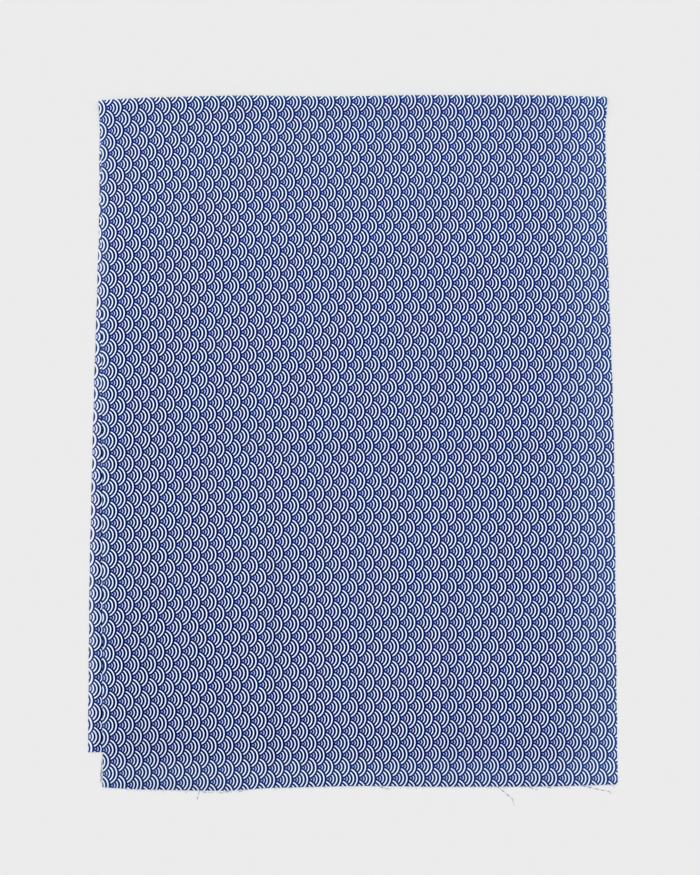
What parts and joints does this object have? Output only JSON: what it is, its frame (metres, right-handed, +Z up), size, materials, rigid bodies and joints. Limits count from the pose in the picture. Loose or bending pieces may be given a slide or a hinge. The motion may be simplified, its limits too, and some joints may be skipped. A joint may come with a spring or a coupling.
{
  "type": "tenugui towel",
  "caption": "Thin printed cotton hand towel with raw ends, lying flat and folded once across its length.",
  "frame": {"origin": "on the surface that the towel lies on, under the middle of the folded cloth", "axes": "+X across the cloth to the right, +Y along it towards the fold, +Z up"},
  "size_m": [0.3485, 0.4641, 0.0035],
  "materials": {
    "printed_cotton": "plain-woven cotton, matt, white with a blue wave print"
  },
  "bodies": {
    "root": {"towel_cloth": "printed_cotton"}
  },
  "joints": []
}
